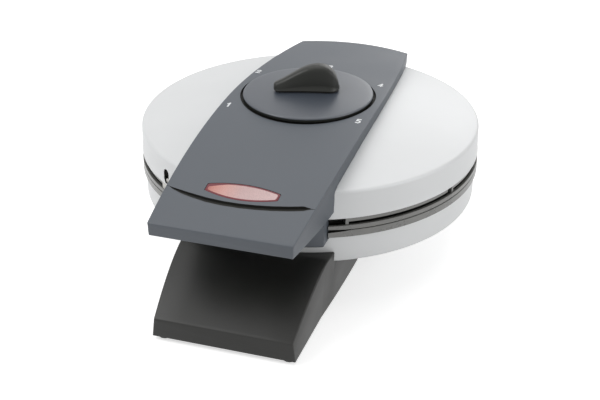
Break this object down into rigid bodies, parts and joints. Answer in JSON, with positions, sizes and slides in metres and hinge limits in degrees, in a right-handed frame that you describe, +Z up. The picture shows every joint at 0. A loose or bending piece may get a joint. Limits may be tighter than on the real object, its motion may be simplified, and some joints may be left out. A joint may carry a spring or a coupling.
{
  "type": "heart waffle maker",
  "caption": "Round waffle maker with a hinged domed lid, heart-shaped baking pockets, a curved handle strap over the lid and a browning dial.",
  "frame": {"origin": "on the table, under the middle of the whole machine's box", "axes": "+Z up; -Y is the front, where the grip and the toe of the stand are; +Y is the back, where the hinge is; +X is to the right seen from the front"},
  "size_m": [0.22, 0.2876, 0.1171],
  "materials": {
    "silver_paint": "fine matt silver lacquer on pressed steel",
    "cast_plate": "cast, with a dark grey non-stick coating",
    "dark_plastic": "finely textured heat-resistant plastic",
    "knob_plastic": "smooth satin plastic",
    "rubber": "matt",
    "bright_steel": "zinc plated",
    "heater_sheath": "heat-darkened tube",
    "reflector_sheet": "bright sheet",
    "ceramic": "unglazed insulator",
    "lens_red": "ribbed translucent red plastic",
    "lamp_glass": "small neon lamp"
  },
  "bodies": {
    "base": {"base_shell": "silver_paint", "lower_plate": "cast_plate", "lower_heating_element": "heater_sheath", "lower_reflector": "reflector_sheet", "thermal_fuse": "ceramic", "base_screw_1": "bright_steel", "base_screw_2": "bright_steel", "base_screw_3": "bright_steel", "base_screw_4": "bright_steel", "base_stand": "dark_plastic", "bottom_cover": "dark_plastic", "cover_screw_front_left": "bright_steel", "cover_screw_front_right": "bright_steel", "cover_screw_rear_left": "bright_steel", "cover_screw_rear_right": "bright_steel", "foot_front_left": "rubber", "foot_front_right": "rubber", "foot_rear_left": "rubber", "foot_rear_right": "rubber", "cord_gland": "rubber", "terminal_block": "ceramic", "hinge_bracket": "dark_plastic", "hinge_pin": "bright_steel"},
    "lid": {"upper_plate": "cast_plate", "upper_heating_element": "heater_sheath", "upper_reflector": "reflector_sheet", "lid_shell": "silver_paint", "handle_strap": "dark_plastic", "grip_underside": "dark_plastic", "strap_screw_left": "bright_steel", "strap_screw_right": "bright_steel", "indicator_lens": "lens_red", "lamp_holder": "ceramic", "indicator_lamp": "lamp_glass", "thermostat_body": "ceramic", "lid_hinge": "dark_plastic"},
    "dial": {"dial_disc": "dark_plastic", "dial_knob": "knob_plastic", "dial_shaft": "bright_steel"}
  },
  "joints": [
    {"name": "lid_hinge_turn", "type": "hinge", "parent": "base", "child": "lid", "pos_m": [0, 0.13635, 0.0565], "axis": [-1, 0, 0], "range_deg": [0, 100]},
    {"name": "dial_turn", "type": "hinge", "parent": "lid", "child": "dial", "pos_m": [0, 0.01515, 0.0966], "axis": [0, 0, 1], "range_deg": [-235, 12]}
  ]
}
